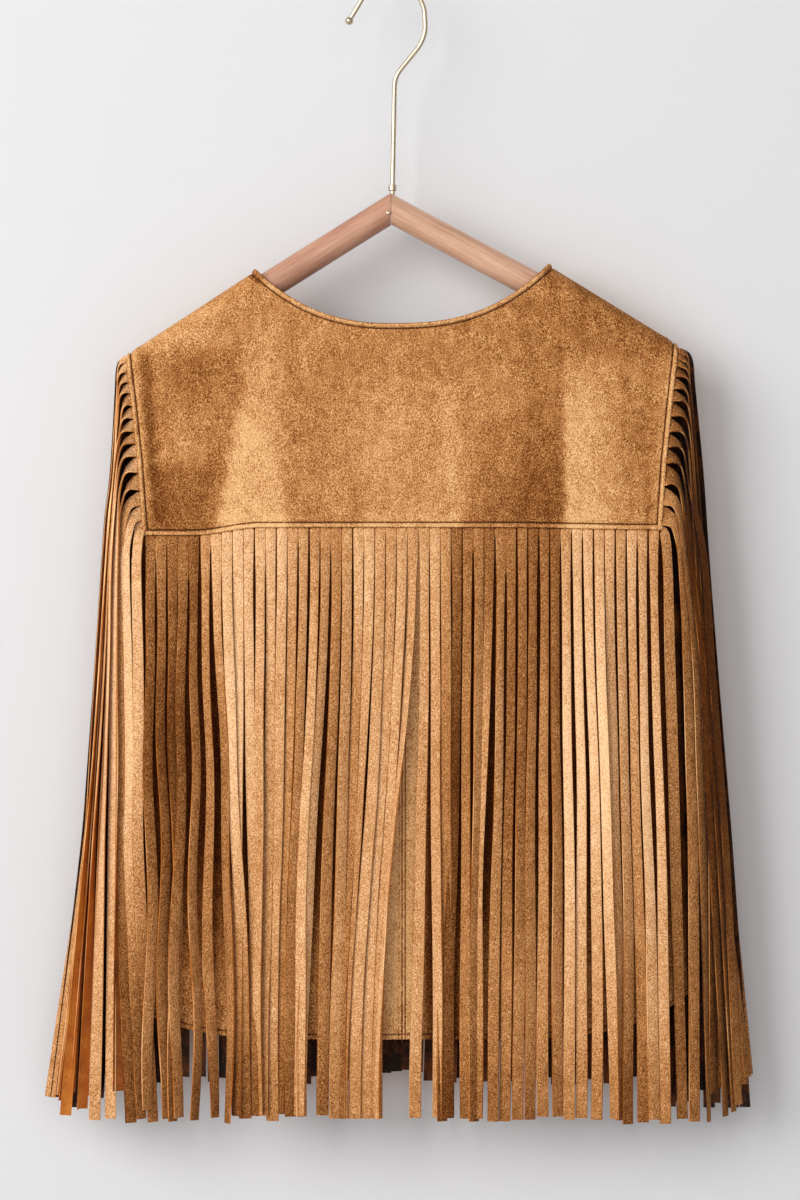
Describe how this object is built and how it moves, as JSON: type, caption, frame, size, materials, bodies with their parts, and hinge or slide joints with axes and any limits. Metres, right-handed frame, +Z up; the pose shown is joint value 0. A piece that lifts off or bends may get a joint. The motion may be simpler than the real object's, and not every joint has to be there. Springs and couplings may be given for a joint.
{
  "type": "fringe vest on a hanger",
  "caption": "Tan faux suede vest with long cut fringe below its yokes and along its armholes, hung on a wooden dowel hanger with a wire hook.",
  "frame": {"origin": "inner crest of the hanger's hook, where it bears on its peg", "axes": "+Z up, +X towards the wearer's right, -Y out of the vest's back, which is the side shown"},
  "size_m": [0.5132, 0.0442, 0.8204],
  "materials": {
    "suede": "tan faux suede, brushed nap, matt",
    "suede_fringe": "tan faux suede strands, nap on one side, orange-brown smooth reverse",
    "beech": "sanded beech dowel with a thin matt lacquer",
    "nickel_wire": "satin nickel plated wire"
  },
  "bodies": {
    "root": {"back_yoke": "suede", "front_yoke_left": "suede", "front_yoke_right": "suede", "back_left": "suede", "back_right": "suede", "front_left": "suede", "front_right": "suede", "back_yoke_neck_edge": "suede", "back_yoke_seam_edge": "suede", "back_yoke_armhole_edge_left": "suede", "back_yoke_armhole_edge_right": "suede", "front_yoke_left_neck_edge": "suede", "front_yoke_left_seam_edge": "suede", "front_yoke_left_armhole_edge": "suede", "front_yoke_right_neck_edge": "suede", "front_yoke_right_seam_edge": "suede", "front_yoke_right_armhole_edge": "suede", "fringe_back": "suede_fringe", "fringe_front_left": "suede_fringe", "fringe_front_right": "suede_fringe", "fringe_armhole_back_left": "suede_fringe", "fringe_armhole_back_right": "suede_fringe", "fringe_armhole_front_left": "suede_fringe", "fringe_armhole_front_right": "suede_fringe", "hanger_arm_left": "beech", "hanger_arm_right": "beech", "hanger_hook": "nickel_wire", "hanger_nail": "nickel_wire"}
  },
  "joints": []
}
